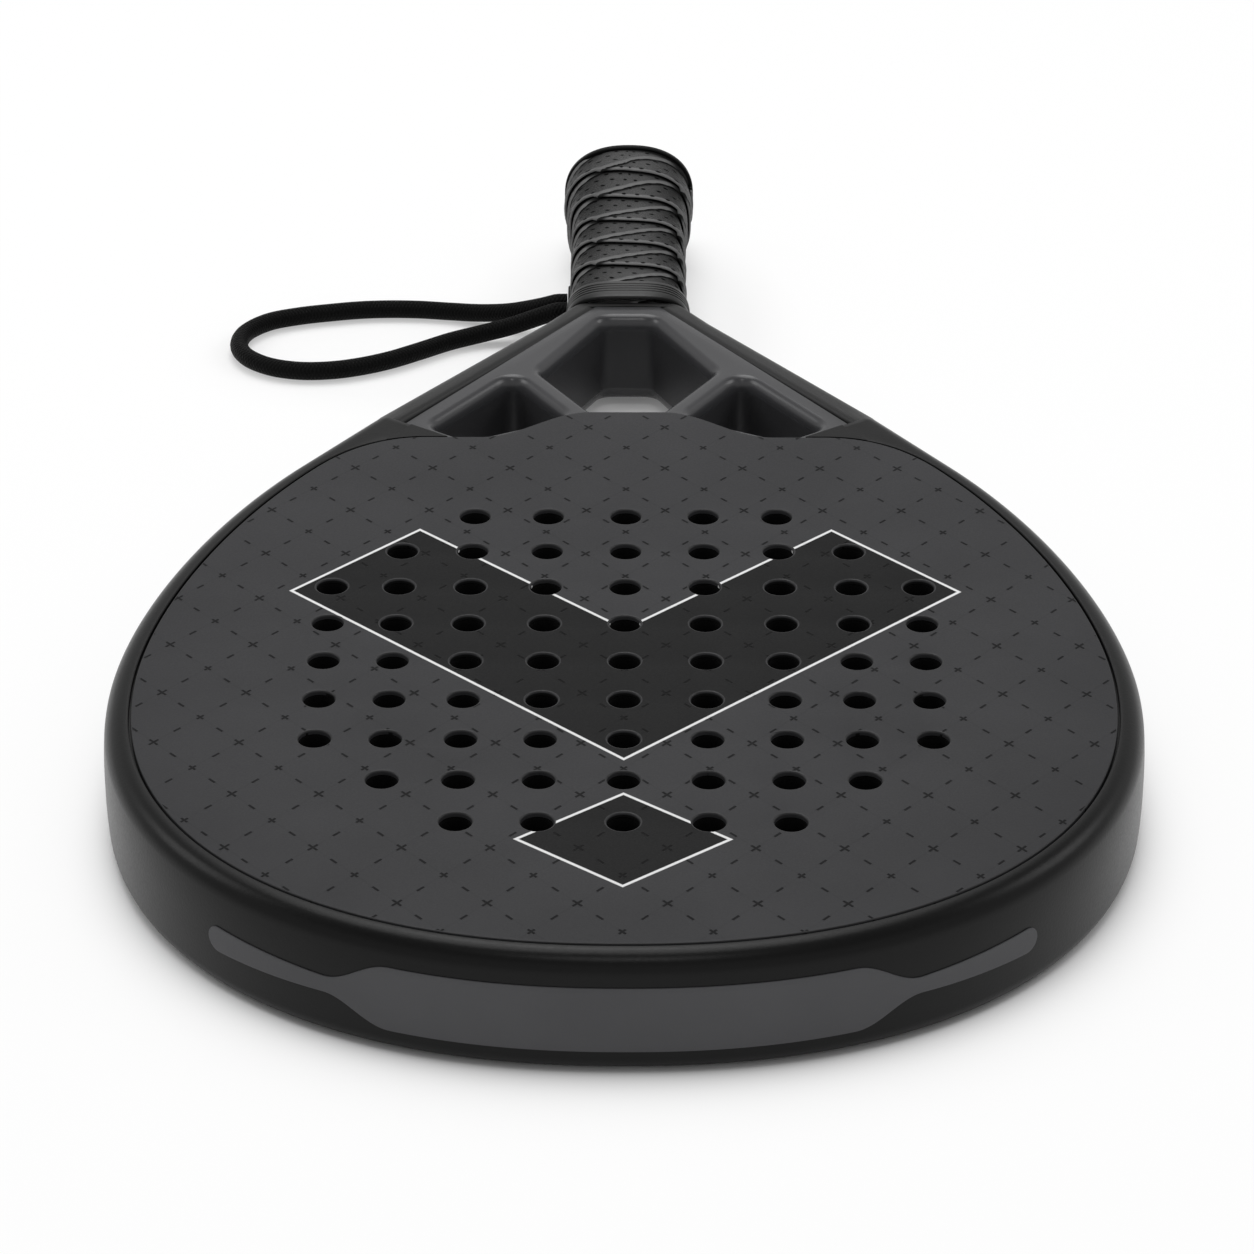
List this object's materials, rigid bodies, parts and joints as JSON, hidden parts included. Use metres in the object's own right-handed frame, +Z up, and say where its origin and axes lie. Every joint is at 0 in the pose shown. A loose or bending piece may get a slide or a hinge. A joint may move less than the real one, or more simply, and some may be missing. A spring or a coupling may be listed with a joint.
{
  "type": "padel racket",
  "caption": "Padel racket with a perforated round head, an open triangular throat, a wrapped handle with a sliding rubber collar and a wrist cord loop.",
  "frame": {"origin": "middle of the racket's box, on the surface it lies on", "axes": "+Y from the tip of the head to the butt, +Z up through the faces, +X to the right seen from the tip"},
  "size_m": [0.26, 0.455, 0.032],
  "materials": {
    "black_carbon": "satin lacquer over fibre laminate",
    "grey_face": "matt moulded texture",
    "satin_grey": "satin moulded",
    "grey_film": "matt film",
    "dark_foam": "closed-cell foam",
    "pale_foam": "rigid foam",
    "black_grip": "matt perforated tape",
    "black_rubber": "matt",
    "black_plastic": "satin",
    "black_cord": "braided",
    "steel": "plain"
  },
  "bodies": {
    "racket": {"frame_tube": "black_carbon", "face_top": "grey_face", "face_bottom": "grey_face", "foam_core": "dark_foam", "shoulder_filler_left": "black_carbon", "shoulder_filler_right": "black_carbon", "throat_bridge": "satin_grey", "head_guard": "grey_film", "handle_core_upper": "pale_foam", "handle_core_lower": "pale_foam", "base_grip": "black_rubber", "overgrip": "black_grip", "finishing_tape": "black_plastic", "butt_cap": "black_plastic", "butt_pin_left": "steel", "butt_pin_right": "steel", "cord_grommet": "black_plastic", "cord_knot": "black_cord", "wrist_cord": "black_cord"},
    "collar": {"grip_collar": "black_rubber"}
  },
  "joints": [
    {"name": "collar_slide", "type": "slide", "parent": "racket", "child": "collar", "axis": [0, 1, 0], "range_m": [0, 0.015]}
  ]
}
